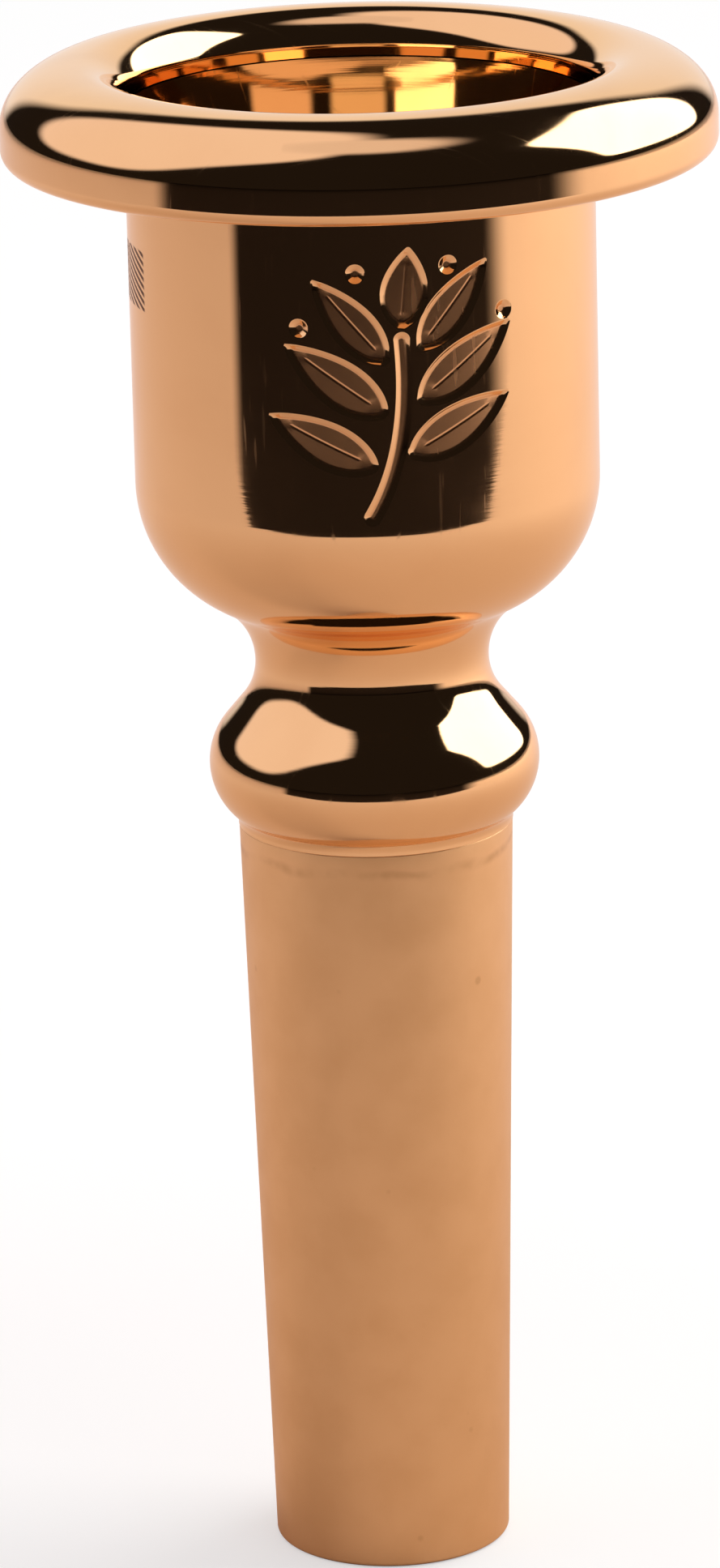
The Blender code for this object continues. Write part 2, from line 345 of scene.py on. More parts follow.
def grit():
    """Fine blasted grain and broad mottling of a satin skin."""
    tree, given = effect("grit", {"Grains per Metre": 9000.0}, ("Grain", "Mottle", "Specks"))
    place = place_of(tree)
    size = {"Vector": place, "Scale": given["Grains per Metre"], "Detail": 3.0}
    grain = add(tree, "ShaderNodeTexNoise", size).outputs[0]
    mottle = add(tree, "ShaderNodeTexNoise", {"Vector": place, "Scale": 420.0, "Detail": 5.0})
    specks = add(tree, "ShaderNodeTexVoronoi", {"Vector": place, "Scale": 330.0})
    speck = stepped(tree, specks.outputs["Distance"], 0.03, 0.075, 1.0, 0.0)
    add(tree, "NodeGroupOutput", {0: grain, 1: mottle.outputs[0], 2: speck})
    return tree


def use(tree, group, inputs=()):
    made = tree.nodes.new("ShaderNodeGroup")
    made.node_tree = group
    for socket, value in dict(inputs).items():
        made.inputs[socket].default_value = value
    return made.outputs


def blended(tree, share, first, second):
    """A colour part way from one to another."""
    made = add(tree, "ShaderNodeMix", {0: share}, data_type="RGBA")
    for socket, value in ((6, first), (7, second)):
        if isinstance(value, bpy.types.NodeSocket):
            tree.links.new(value, made.inputs[socket])
        else:
            made.inputs[socket].default_value = (*value, 1.0)
    return made.outputs[2]


def bare_material(name, metallic):
    material = bpy.data.materials.new(name)
    material.use_nodes = True
    surface = material.node_tree.nodes["Principled BSDF"]
    surface.inputs["Metallic"].default_value = metallic
    return material, material.node_tree, surface


GRIT = grit()
SATIN_GOLD = (0.93, 0.61, 0.32)
SATIN_GOLD_DULL = (0.90, 0.58, 0.295)
STAIN = (0.52, 0.26, 0.11)
STAIN_HEIGHT = 28.95  # an uneven tarnish line where the polishing of the bead stopped
STAIN_DEPTH = 0.32


def satin_gold():
    """Gold over blasted brass: soft grain, mottling, a few specks and a tarnish line at the top."""
    material, tree, surface = bare_material("satin_gold_plate", 1.0)
    grain, mottle, specks = use(tree, GRIT)
    place = place_of(tree)
    height = add(tree, "ShaderNodeSeparateXYZ", {0: place}).outputs["Z"]
    wander = add(tree, "ShaderNodeTexNoise", {"Vector": place, "Scale": 260.0, "Detail": 3.0})
    wander = maths(tree, "MULTIPLY_ADD", wander.outputs[0], 0.0011, -0.00055)
    from_line = maths(tree, "SUBTRACT", maths(tree, "ADD", height, wander), STAIN_HEIGHT * MM)
    from_line = maths(tree, "ABSOLUTE", from_line)
    stain = stepped(tree, from_line, 0.0, STAIN_DEPTH * MM, 1.0, 0.0)
    patches = add(tree, "ShaderNodeTexNoise", {"Vector": place, "Scale": 380.0, "Detail": 4.0})
    stain = maths(tree, "MULTIPLY", stain, stepped(tree, patches.outputs[0], 0.4, 0.62))
    skin = blended(tree, stepped(tree, mottle, 0.35, 0.7), SATIN_GOLD, SATIN_GOLD_DULL)
    stain = maths(tree, "MULTIPLY", stain, 0.42)
    marks = maths(tree, "MAXIMUM", stain, maths(tree, "MULTIPLY", specks, 0.3))
    tree.links.new(blended(tree, marks, skin, STAIN), surface.inputs["Base Color"])
    roughness = stepped(tree, mottle, 0.3, 0.7, 0.35, 0.40)
    tree.links.new(roughness, surface.inputs["Roughness"])
    bump = add(tree, "ShaderNodeBump", {"Height": grain, "Strength": 0.5, "Distance": 0.0000025})
    tree.links.new(bump.outputs[0], surface.inputs["Normal"])
    return material


def shank_outline():
    inner, outer, low, high = ring_groove(SHANK_RING)
    core = SHANK_THREAD.core
    land = SPIGOT_LAND_RADIUS
    top_round = (SHANK_TOP_RADIUS - SHANK_TOP_ROUND, SHANK_TOP - SHANK_TOP_ROUND)
    end_round = (SHANK_END_RADIUS - SHANK_END_ROUND, SHANK_END_ROUND)
    outline = [(core - THREAD_CHAMFER, SPIGOT_TOP)]
    outline += thread_band(core, SHANK_THREAD, upwards=False)
    outline += [(core, SPIGOT_LAND_TOP), (land, SPIGOT_LAND_TOP), (land, high)]
    outline += [(inner, high), (inner, low), (land, low), (land, SHANK_TOP)]
    outline += round_arc(top_round, SHANK_TOP_ROUND, 90, 0)
    outline += round_arc(end_round, SHANK_END_ROUND, 0, -90)
    return outline + [(BORE_END_RADIUS, 0.0), (bore_radius(SPIGOT_TOP), SPIGOT_TOP)]


shank = turned(
    "tapered_shank",
    shank_outline(),
    satin_gold(),
    SHANK_COLUMNS,
    threads=[(SHANK_THREAD, False)],
)
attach(shank, "shank")
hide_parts("shank")

# ---------------------------------------------------------------------------------------
# Shank seal. A small moulded rubber ring in the groove of the spigot. It keeps air in and
# stops the joint working loose. The mould leaves a thin line of flash inside and outside.

RING_COLUMNS = 120
FLASH = 0.014  # how far the mould line stands out
FLASH_SPREAD = 7.0  # degrees of the section that the mould line covers
RUBBER = (0.016, 0.016, 0.017)
RUBBER_DUSTY = (0.05, 0.048, 0.045)


def ring_outline(ring):
    """Down the outside and up the inside of the section, with its mould line."""
    outline = []
    for step in range(72):
        angle = 90 - step * 5
        from_line = min(abs(angle), abs(angle + 180))
        lift = FLASH * math.exp(-((from_line / FLASH_SPREAD) ** 2))
        reach = ring.section - FLASH + lift
        turn = math.radians(angle)
        outline.append((ring.radius + reach * math.cos(turn), ring.height + reach * math.sin(turn)))
    return outline


def seal_rubber():
    """Matt black rubber with a bloom of dust and a pebbled skin."""
    material, tree, surface = bare_material("black_rubber", 0.0)
    grain, mottle, specks = use(tree, GRIT, {"Grains per Metre": 14000.0})
    dust = maths(tree, "MULTIPLY", stepped(tree, mottle, 0.45, 0.75), 0.6)
    dust = maths(tree, "MAXIMUM", dust, specks)
    tree.links.new(blended(tree, dust, RUBBER, RUBBER_DUSTY), surface.inputs["Base Color"])
    tree.links.new(stepped(tree, mottle, 0.3, 0.7, 0.46, 0.66), surface.inputs["Roughness"])
    bump = add(tree, "ShaderNodeBump", {"Height": grain, "Strength": 0.6, "Distance": 0.000004})
    tree.links.new(bump.outputs[0], surface.inputs["Normal"])
    return material


BLACK_RUBBER = seal_rubber()


def seal(name, ring, node):
    made = turned(name, ring_outline(ring), BLACK_RUBBER, RING_COLUMNS)
    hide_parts(node)
    return made


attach(seal("shank_seal_ring", SHANK_RING, "shank_o_ring"), "shank_seal")

# ---------------------------------------------------------------------------------------
# Cup. One piece of brass turned to a straight cup on a round bowl, a waisted neck and a
# bead. Outside it is polished to a mirror, with the last faint lines of the lathe. A spray
# of leaves is cut in its front with a small flat cutter, and gold plated with the rest.

cup_low, cup_high = (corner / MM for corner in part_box("cup"))

COLLAR_TOP = cup_high.z
BEAD_FOOT = cup_low.z
RIM_THREAD = Thread(core=10.15, ridge=0.28, pitch=0.5, low=56.5, high=58.05)
RIM_RING = Ring(radius=9.55, section=0.22, height=57.95)
RIM_UNDERSIDE = 56.35
CUP_RADIUS = 9.0
CUP_FILLET = 0.45
BOWL_ARC = 5.4
BOWL_HEIGHT = 43.6
NECK_ARC = 2.8
NECK_FOOT_ARC = 2.5  # below the narrowest place, down to the straight slope of the bead
BEAD_ARC = 2.6
BEAD_RADIUS = 6.45
BEAD_HEIGHT = 32.2
BEAD_FOOT_RADIUS = 5.38
BEAD_FOOT_FILLET = 0.5
SOCKET_MOUTH_RADIUS = 4.43
SOCKET_MOUTH_TOP = 31.25
SOCKET_ROOF = 34.3
MOUTH_RADIUS = 9.02
UPPER_WALL = (8.22, 52.5)
BOWL_CORNER = (7.3, 45.0)
BOWL_CORNER_ARC = 5.0
THROAT_TOP = 41.2
THROAT_FILLET = 1.5
CUP_COLUMNS = 108

# The panel that the leaves are cut in: its own finer mesh, set in the turned wall.
PANEL_STEP = 0.26
PANEL_FOOT = 43.65
PANEL_ROWS = 44
PANEL_COLUMNS = 50
PANEL_TURN = math.radians(8)  # how far the middle of the panel is turned to the right
PANEL_TOP = PANEL_FOOT + PANEL_ROWS * PANEL_STEP
PANEL_HALF_TURN = PANEL_COLUMNS * PANEL_STEP / CUP_RADIUS / 2

CUT_DEPTH = 0.17
# Depth of a cut, as a share, at distances in from its edge: a worn lip, the wall, the floor
CUT_LIP = (-0.07, 0.0), (-0.03, 0.0), (0.0, 0.07)
CUT_SECTION = (*CUT_LIP, (0.03, 0.2), (0.2, 0.93), (0.23, 1.0), (0.27, 1.0))
VEIN = 0.045  # half width of the line that the second pass of the cutter leaves
VEIN_DEPTH = 0.03
VEIN_EDGE = 0.04  # from the side of a vein to the next row of points
GRID_CLEARANCE = 0.33  # the wall's own points keep this far from every cut
VEIN_NEARER = 0.15  # and may come this much nearer to a vein
CUT_FLOOR = (0.72, 0.36, 0.17)


def rounded_corner(before, corner, after, radius):
    """The arc that rounds the corner between two straight lines."""
    to_before = math.atan2(before[1] - corner[1], before[0] - corner[0])
    to_after = math.atan2(after[1] - corner[1], after[0] - corner[0])
    opening = (to_after - to_before + math.pi) % (2 * math.pi) - math.pi
    middle = to_before + opening / 2
    reach = radius / math.sin(abs(opening) / 2)
    centre = (corner[0] + reach * math.cos(middle), corner[1] + reach * math.sin(middle))
    start = math.degrees(to_before) - math.copysign(90, opening)
    sweep = math.copysign(180, opening) - math.degrees(opening)
    return round_arc(centre, radius, start, start - sweep)


def bearing(centre, target):
    return math.degrees(math.atan2(target[1] - centre[1], target[0] - centre[0]))


def centre_touching(first, first_radius, second, second_radius, radius):
    """Centre of the circle that touches two others from outside, away from the axis."""
    a, b = first_radius + radius, second_radius + radius
    across = (second[0] - first[0], second[1] - first[1])
    apart = math.hypot(*across)
    along = (a * a - b * b + apart * apart) / (2 * apart)
    off = math.sqrt(a * a - along * along)
    unit = (across[0] / apart, across[1] / apart)
    return (
        first[0] + unit[0] * along - unit[1] * off,
        first[1] + unit[1] * along + unit[0] * off,
    )


def cup_collar():
    """The collar's flat top with its ring groove, then the thread down to its foot."""
    inner, outer, low, high = ring_groove(RIM_RING)
    core = RIM_THREAD.core
    groove = [(inner, COLLAR_TOP), (inner, low), (outer, low), (outer, COLLAR_TOP)]
    chamfer = (core - THREAD_CHAMFER, COLLAR_TOP)
    return groove + [chamfer] + thread_band(core, RIM_THREAD, False) + [(core, RIM_UNDERSIDE)]


def cup_wall():
    """The fillet under the collar, and the panel's rows down the straight wall."""
    fillet = (CUP_RADIUS + CUP_FILLET, RIM_UNDERSIDE - CUP_FILLET)
    rows = [PANEL_FOOT + i * PANEL_STEP for i in range(PANEL_ROWS, -1, -1)]
    return round_arc(fillet, CUP_FILLET, 90, 180) + [(CUP_RADIUS, height) for height in rows]


def cup_foot():
    """Bowl, waisted neck, bead and the small fillet at the foot of the bead."""
    bowl = (CUP_RADIUS - BOWL_ARC, BOWL_HEIGHT)
    bead = (BEAD_RADIUS - BEAD_ARC, BEAD_HEIGHT)
    neck = centre_touching(bowl, BOWL_ARC, bead, BEAD_ARC, NECK_ARC)
    fillet_radius = BEAD_FOOT_RADIUS + BEAD_FOOT_FILLET
    reach = BEAD_ARC + BEAD_FOOT_FILLET
    drop = math.sqrt(reach**2 - (fillet_radius - bead[0]) ** 2)
    fillet = (fillet_radius, BEAD_HEIGHT - drop)
    outline = round_arc(bowl, BOWL_ARC, 0, bearing(bowl, neck))
    neck_foot = (neck[0] - NECK_ARC + NECK_FOOT_ARC, neck[1])
    reach = (NECK_FOOT_ARC + BEAD_ARC) / math.dist(bead, neck_foot)
    slope = bearing(bead, neck_foot) - math.degrees(math.acos(reach))
    outline += round_arc(neck, NECK_ARC, 180 + bearing(bowl, neck), 180)[1:]
    outline += round_arc(neck_foot, NECK_FOOT_ARC, 180, 180 + slope)[1:]
    outline += round_arc(bead, BEAD_ARC, slope, bearing(bead, fillet))
    outline += round_arc(fillet, BEAD_FOOT_FILLET, 180 + bearing(bead, fillet), 180)[1:]
    return outline + [(BEAD_FOOT_RADIUS, BEAD_FOOT)]


def cup_inside():
    """Up the threaded socket in the bead, through the throat and the bowl to the mouth."""
    root = nut_radius(SHANK_THREAD)
    throat, foot = (THROAT_RADIUS, THROAT_TOP), (THROAT_RADIUS, THROAT_FOOT)
    mouth = (MOUTH_RADIUS, COLLAR_TOP)
    outline = [
        (SOCKET_MOUTH_RADIUS, BEAD_FOOT),
        (SOCKET_MOUTH_RADIUS, SOCKET_MOUTH_TOP - THREAD_CHAMFER),
    ]
    outline += thread_band(root, SHANK_THREAD, True)
    outline += [(root, SOCKET_ROOF), (bore_radius(SOCKET_ROOF), SOCKET_ROOF), foot]
    outline += rounded_corner(foot, throat, BOWL_CORNER, THROAT_FILLET)
    outline += rounded_corner(throat, BOWL_CORNER, UPPER_WALL, BOWL_CORNER_ARC)
    outline += rounded_corner(BOWL_CORNER, UPPER_WALL, mouth, BOWL_CORNER_ARC)
    return outline + [mouth]


# The spray of leaves, laid flat: across and up from the middle of the panel.
Leaf = namedtuple("Leaf", "foot lean length width")
LEAF_LENGTH = 4.7
LEAF_WIDTH = 1.85
LEAF_PAIRS = ((-3.3, 64, 0.98), (-1.25, 55, 1.0), (0.75, 41, 0.9))  # height, lean, size
LEAF_OFF_STALK = 0.62  # from the middle of the stalk to the foot of a leaf
LEAF_STAGGER = 0.45  # how much higher the leaves on the right start
BERRIES = ((-1.55, 4.2), (2.0, 4.35), (-3.75, 2.1), (4.35, 2.35))
STALK_FOOT, STALK_BOW, STALK_TIP = (-1.1, -5.2), (0.5, -2.6), (0.15, 1.6)
STALK_WIDTH = 0.62
BERRY_RADIUS = 0.36


def stalk_line(count=28):
    """The middle of the stalk, a gentle bow from its foot to its tip."""
    foot, bow, tip = (np.array(p) for p in (STALK_FOOT, STALK_BOW, STALK_TIP))
    share = np.linspace(0, 1, count)[:, None]
    return (1 - share) ** 2 * foot + 2 * share * (1 - share) * bow + share**2 * tip


def stalk_outline():
    """The stalk's two sides, joined by round ends."""
    line = stalk_line()
    along = np.gradient(line, axis=0)
    along /= np.linalg.norm(along, axis=1, keepdims=True)
    side = np.stack([along[:, 1], -along[:, 0]], 1) * STALK_WIDTH / 2
    sides = [line + side, (line - side)[::-1]]
    caps = []
    for end, outward in ((-1, side[-1]), (0, -side[0])):
        angles = math.atan2(outward[1], outward[0]) + np.linspace(0, math.pi, 12)[1:-1]
        caps.append(line[end] + np.stack([np.cos(angles), np.sin(angles)], 1) * STALK_WIDTH / 2)
    return np.concatenate([sides[0], caps[0], sides[1], caps[1]])


def leaf_outline(leaf):
    """Two bowed sides that meet in a blunt foot and a pointed tip, and the leaf's vein."""
    share = np.linspace(0, 1, 30)
    half = leaf.width / 2 * np.sin(math.pi * share**0.8) ** 0.75
    half = np.maximum(half, 0.1 * (1 - share) + 0.04)
    lean = math.radians(leaf.lean)
    up = np.array([math.sin(lean), math.cos(lean)])
    across = np.array([up[1], -up[0]])
    middle = np.array(leaf.foot) + share[:, None] * leaf.length * up
    right, left = middle + half[:, None] * across, middle - half[:, None] * across
    vein = middle[(share > 0.12) & (share < 0.86)]
    return np.concatenate([right, left[::-1]]), vein


def spray():
    """Every outline that is cut, and the veins."""
    line = stalk_line()
    leaves = [Leaf(tuple(line[-1] + (0.0, LEAF_STAGGER)), 6, LEAF_LENGTH * 0.66, LEAF_WIDTH)]
    berries = []
    for height, lean, size in LEAF_PAIRS:
        across = np.interp(height, line[:, 1], line[:, 0])
        for hand in (-1, 1):
            lift = LEAF_STAGGER if hand > 0 else 0.0
            foot = (across + hand * LEAF_OFF_STALK, height + lift)
            leaves.append(Leaf(foot, hand * lean, LEAF_LENGTH * size, LEAF_WIDTH * size))
    for across, height in BERRIES:
        angles = np.linspace(0, 2 * math.pi, 24, endpoint=False)
        circle = np.stack([np.cos(angles), np.sin(angles)], 1) * BERRY_RADIUS
        berries.append(circle + (across, height))
    outlines, veins = [stalk_outline()], []
    for leaf in leaves:
        outline, vein = leaf_outline(leaf)
        outlines.append(outline)
        veins.append(vein)
    return outlines + berries, veins


def to_line(points, line, closed):
    """Distance from points to a chain of straight steps."""
    starts = line if closed else line[:-1]
    ends = np.roll(line, -1, axis=0) if closed else line[1:]
    run = ends - starts
    offset = points[:, None] - starts[None]
    share = np.clip((offset * run).sum(2) / np.maximum((run**2).sum(1), 1e-12), 0, 1)
    return np.linalg.norm(offset - share[..., None] * run[None], axis=2).min(1)


def inside(points, outline):
    ends = np.roll(outline, -1, axis=0)
    x, y = points[:, 0, None], points[:, 1, None]
    spans = (outline[:, 1] > y) != (ends[:, 1] > y)
    rise = np.where(ends[:, 1] == outline[:, 1], 1e-12, ends[:, 1] - outline[:, 1])
    crossing = outline[:, 0] + (y - outline[:, 1]) / rise * (ends[:, 0] - outline[:, 0])
    return (spans & (x < crossing)).sum(1) % 2 == 1


def cut_depth(points, outlines, veins):
    """How deep the cutter goes at each point of the panel."""
    share = np.zeros(len(points))
    knots, shares = zip(*CUT_SECTION)
    for outline in outlines:
        reach = to_line(points, outline, closed=True)
        reach = np.where(inside(points, outline), reach, -reach)
        share = np.maximum(share, np.interp(reach, knots, shares))
    depth = share * CUT_DEPTH
    for vein in veins:
        near = 1 - np.clip(to_line(points, vein, closed=False) / VEIN, 0, 1)
        depth += VEIN_DEPTH * near * (share > 0.99)
    return depth


def moved_in(outline, distance):
    """The outline moved inwards, or outwards where the distance is below zero."""
    along = np.roll(outline, -1, axis=0) - np.roll(outline, 1, axis=0)
    along /= np.maximum(np.linalg.norm(along, axis=1, keepdims=True), 1e-9)
    return outline + np.stack([-along[:, 1], along[:, 0]], 1) * distance


def panel_grid():
    """The turned wall's own points in the panel, as rows of (across, up)."""
    half = PANEL_COLUMNS * PANEL_STEP / 2
    across = np.linspace(-half, half, PANEL_COLUMNS + 1)
    middle = PANEL_ROWS * PANEL_STEP / 2
    up = np.linspace(-middle, middle, PANEL_ROWS + 1)
    return across, up


def cut_panel():
    """The panel as triangles that follow every edge of the cuts, with the depth at each point."""
    outlines, veins = spray()
    across, up = panel_grid()
    border = [(u, up[0]) for u in across] + [(across[-1], v) for v in up[1:]]
    border += [(u, up[-1]) for u in across[-2::-1]] + [(across[0], v) for v in up[-2:0:-1]]
    points, edges = [], []

    def draw(line, closed):
        first = len(points)
        points.extend(map(tuple, line))
        count = len(line)
        steps = range(count if closed else count - 1)
        edges.extend((first + i, first + (i + 1) % count) for i in steps)

    draw(border, True)
    for outline in outlines:
        for distance, _ in CUT_SECTION:
            draw(moved_in(outline, distance), True)
    for vein in veins:
        draw(vein, False)
        for distance in (-VEIN - VEIN_EDGE, -VEIN, VEIN, VEIN + VEIN_EDGE):
            draw(moved_in(vein, distance)[1:-1], False)
    inner = np.array([(u, v) for u in across[1:-1] for v in up[1:-1]])
    spans = [to_line(inner, outline, closed=True) for outline in outlines]
    spans += [to_line(inner, vein, closed=False) + VEIN_NEARER for vein in veins]
    clear = np.min(spans, axis=0) > GRID_CLEARANCE
    points.extend(map(tuple, inner[clear]))
    flat = [Vector(point) for point in points]
    spots, _, triangles, *_ = delaunay_2d_cdt(flat, edges, [], 1, 0.0001)
    spots = np.array([tuple(spot) for spot in spots])
    return spots, triangles, cut_depth(spots, outlines, veins)


def set_panel(cup):
    """Swaps the wall's plain faces in the panel for the cut ones, and sews the border."""
    spots, triangles, depth = cut_panel()
    turn = spots[:, 0] / CUP_RADIUS + PANEL_TURN - math.pi / 2
    height = spots[:, 1] + PANEL_FOOT + PANEL_ROWS * PANEL_STEP / 2
    radius = CUP_RADIUS - depth
    mesh = bmesh.new()
    mesh.from_mesh(cup.data)
    depth_layer = mesh.verts.layers.float.new("cut")
    doomed = []
    for face in mesh.faces:
        x, y, z = face.calc_center_median() / MM
        off_middle = math.atan2(y, x) + math.pi / 2 - PANEL_TURN
        if abs(math.hypot(x, y) - CUP_RADIUS) < 0.02 and PANEL_FOOT < z < PANEL_TOP:
            if abs(off_middle) < PANEL_HALF_TURN:
                doomed.append(face)
    bmesh.ops.delete(mesh, geom=doomed, context="FACES")
    corners = []
    for i in range(len(spots)):
        place = (radius[i] * math.cos(turn[i]), radius[i] * math.sin(turn[i]), height[i])
        vertex = mesh.verts.new([value * MM for value in place])
        vertex[depth_layer] = depth[i] / CUT_DEPTH
        corners.append(vertex)
    for triangle in triangles:
        face = mesh.faces.new([corners[i] for i in triangle])
        face.smooth = True
    loose = [v for v in mesh.verts if v.is_boundary]
    bmesh.ops.remove_doubles(mesh, verts=loose, dist=0.000001)
    mesh.to_mesh(cup.data)
    mesh.free()


def true_wall_normals(cup):
    """Gives the plain wall the exact normals of a cylinder, so that its mirror stays calm."""
    mesh = cup.data
    normals = [Vector(corner.vector) for corner in mesh.corner_normals]
    for loop in mesh.loops:
        x, y, z = mesh.vertices[loop.vertex_index].co / MM
        radius = math.hypot(x, y)
        if abs(radius - CUP_RADIUS) < 0.0001 and BOWL_HEIGHT < z < PANEL_TOP + 0.01:
            normals[loop.index] = Vector((x, y, 0)) / radius
    mesh.normals_split_custom_set(normals)


def lathe_lines():
    """Fine lines that a turning tool leaves: they run round the axis and waver a little."""
    inputs = {"Lines per Metre": 7000.0, "Waver": 90.0}
    tree, given = effect("lathe_lines", inputs, ("Height",))
    x, y, z = add(tree, "ShaderNodeSeparateXYZ", {0: place_of(tree)}).outputs
    radius = from_axis(tree, x, y)
    lines, waver = given["Lines per Metre"], given["Waver"]
    across = {
        "X": maths(tree, "MULTIPLY", radius, lines),
        "Y": maths(tree, "MULTIPLY", z, lines),
        "Z": maths(tree, "MULTIPLY", x, waver),
    }
    place = add(tree, "ShaderNodeCombineXYZ", across).outputs[0]
    inputs = {"Vector": place, "W": maths(tree, "MULTIPLY", y, waver), "Scale": 1.0, "Detail": 2.0}
    noise = add(tree, "ShaderNodeTexNoise", inputs, noise_dimensions="4D").outputs[0]
    add(tree, "NodeGroupOutput", {0: noise})
    return tree


def handling():
    """Marks of use on a mirror: dull finger smudges and fine wiping scratches."""
    tree, given = effect("handling", {"Smudges per Metre": 160.0}, ("Smudge", "Hairlines"))
    place = place_of(tree)
    inputs = {"Vector": place, "Scale": given["Smudges per Metre"], "Detail": 5.0, "Distortion": 0.6}
    smudge = add(tree, "ShaderNodeTexNoise", inputs).outputs[0]
    lines = None
    for turn, scale in (((0.5, 0.3, 0.2), 1.0), ((1.9, 0.7, 2.1), 1.3)):
        laid = add(tree, "ShaderNodeMapping", {"Vector": place, "Rotation": turn})
        laid.inputs["Scale"].default_value = (160.0 * scale, 9000.0 * scale, 260.0 * scale)
        noise = add(tree, "ShaderNodeTexNoise", {"Vector": laid.outputs[0], "Scale": 1.0})
        thin = stepped(tree, noise.outputs[0], 0.66, 0.72)
        lines = thin if lines is None else maths(tree, "MAXIMUM", lines, thin)
    add(tree, "NodeGroupOutput", {0: stepped(tree, smudge, 0.42, 0.72), 1: lines})
    return tree


LATHE_LINES, HANDLING = lathe_lines(), handling()
BRIGHT_GOLD = (0.93, 0.60, 0.31)
BRIGHT_GOLD_HAZE = (0.90, 0.57, 0.29)
MARK_LOW, MARK_HIGH = 51.0, 53.4  # the etched border on the left of the cup
MARK_REACH = 0.4, 0.38  # how far the border runs round, in radians, and where it starts to fade
MARK_STROKES = 40.0
ETCHED = (0.16, 0.075, 0.035)


def bright_gold(name, line_height):
    """Mirror gold plate. Its colour and roughness come too, for more marks to be laid on."""
    material, tree, surface = bare_material(name, 1.0)
    lines = use(tree, LATHE_LINES)["Height"]
    marks = use(tree, HANDLING)
    haze = blended(tree, marks["Smudge"], BRIGHT_GOLD, BRIGHT_GOLD_HAZE)
    tree.links.new(haze, surface.inputs["Base Color"])
    roughness = maths(tree, "MULTIPLY_ADD", marks["Smudge"], 0.035, 0.04)
    roughness = maths(tree, "MULTIPLY_ADD", marks["Hairlines"], 0.06, roughness)
    tree.links.new(roughness, surface.inputs["Roughness"])
    bump = add(tree, "ShaderNodeBump", {"Height": lines, "Strength": 1.0, "Distance": line_height})
    tree.links.new(bump.outputs[0], surface.inputs["Normal"])
    return material, tree, surface, haze, roughness


def cup_gold():
    """Bright gold, rougher and browner on the floor of the cuts, with an etched border."""
    material, tree, surface, colour, roughness = bright_gold("polished_gold_plate_cup", 0.0000006)
    cut = add(tree, "ShaderNodeAttribute", attribute_name="cut").outputs["Fac"]
    floor = stepped(tree, cut, 0.55, 1.0)
    x, y, z = add(tree, "ShaderNodeSeparateXYZ", {0: place_of(tree)}).outputs
    around = maths(tree, "ARCTAN2", y, x)
    slant = maths(tree, "MULTIPLY_ADD", z, 260.0, around)
    stroke = maths(tree, "FRACT", maths(tree, "MULTIPLY", slant, MARK_STROKES / math.tau * 2))
    stroke = stepped(tree, maths(tree, "ABSOLUTE", maths(tree, "SUBTRACT", stroke, 0.5)), 0.2, 0.26)
    middle, half = (MARK_LOW + MARK_HIGH) / 2 * MM, (MARK_HIGH - MARK_LOW) / 2 * MM
    off = maths(tree, "ABSOLUTE", maths(tree, "SUBTRACT", z, middle))
    band = stepped(tree, off, half, half - 0.00008)
    back_y, back_x = (maths(tree, "MULTIPLY", value, -1.0) for value in (y, x))
    from_left = maths(tree, "ABSOLUTE", maths(tree, "ARCTAN2", back_y, back_x))
    band = maths(tree, "MULTIPLY", band, stepped(tree, from_left, *MARK_REACH))
    radius = from_axis(tree, x, y)
    outside = stepped(tree, radius, 0.0089, 0.00895)
    etched = maths(tree, "MULTIPLY", maths(tree, "MULTIPLY", band, stroke), outside)
    floor_colour = blended(tree, maths(tree, "MULTIPLY", floor, 0.5), colour, CUT_FLOOR)
    tree.links.new(blended(tree, etched, floor_colour, ETCHED), surface.inputs["Base Color"])
    duller = maths(tree, "MULTIPLY_ADD", floor, 0.18, roughness)
    duller = maths(tree, "MULTIPLY_ADD", etched, 0.4, duller)
    tree.links.new(duller, surface.inputs["Roughness"])
    return material


cup = turned(
    "cup_with_bead",
    cup_collar() + cup_wall() + cup_foot() + cup_inside(),
    cup_gold(),
    CUP_COLUMNS,
    threads=[(RIM_THREAD, False), (SHANK_THREAD, True)],
    front=(
        PANEL_COLUMNS,
        PANEL_STEP / CUP_RADIUS,
        PANEL_TURN - math.pi / 2 - PANEL_HALF_TURN,
    ),
)
set_panel(cup)
true_wall_normals(cup)
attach(cup, "cup")
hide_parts("cup")

# ---------------------------------------------------------------------------------------
# Rim seal. The same kind of rubber ring, wider and thinner, in the top of the cup's collar.

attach(seal("rim_seal_ring", RIM_RING, "rim_o_ring"), "rim_seal")

# ---------------------------------------------------------------------------------------
# Rim. The thick rounded ring that the lips rest on, turned from brass, polished to a mirror
# and gold plated. A threaded recess under it screws down over the cup's collar.

rim_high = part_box("rim")[1] / MM

RIM_TOP = rim_high.z
RIM_RADIUS = rim_high.x
RIM_CREST_RADIUS = 10.7
RIM_WIDEST = 57.65
RIM_CORNER = 0.55
BITE_RADIUS = 9.08
BITE_TOP = 58.55
RECESS_ROOF = 58.25
RIM_COLUMNS = 168


def rim_outline():
    root = nut_radius(RIM_THREAD)
    crest = (RIM_CREST_RADIUS, RIM_WIDEST)
    corner = (RIM_RADIUS - RIM_CORNER, RIM_UNDERSIDE + RIM_CORNER)
    bite = (RIM_CREST_RADIUS, BITE_TOP)
    outline = oval_arc(crest, RIM_RADIUS - RIM_CREST_RADIUS, RIM_TOP - RIM_WIDEST, 90, 0)
    outline += round_arc(corner, RIM_CORNER, 0, -90)
    outline += [(root + THREAD_CHAMFER, RIM_UNDERSIDE)]
    outline += thread_band(root, RIM_THREAD, upwards=True)
    outline += [(root, RECESS_ROOF), (BITE_RADIUS, RECESS_ROOF)]
    inner_width = RIM_CREST_RADIUS - BITE_RADIUS
    return outline + oval_arc(bite, inner_width, RIM_TOP - BITE_TOP, 180, 90)[:-1]


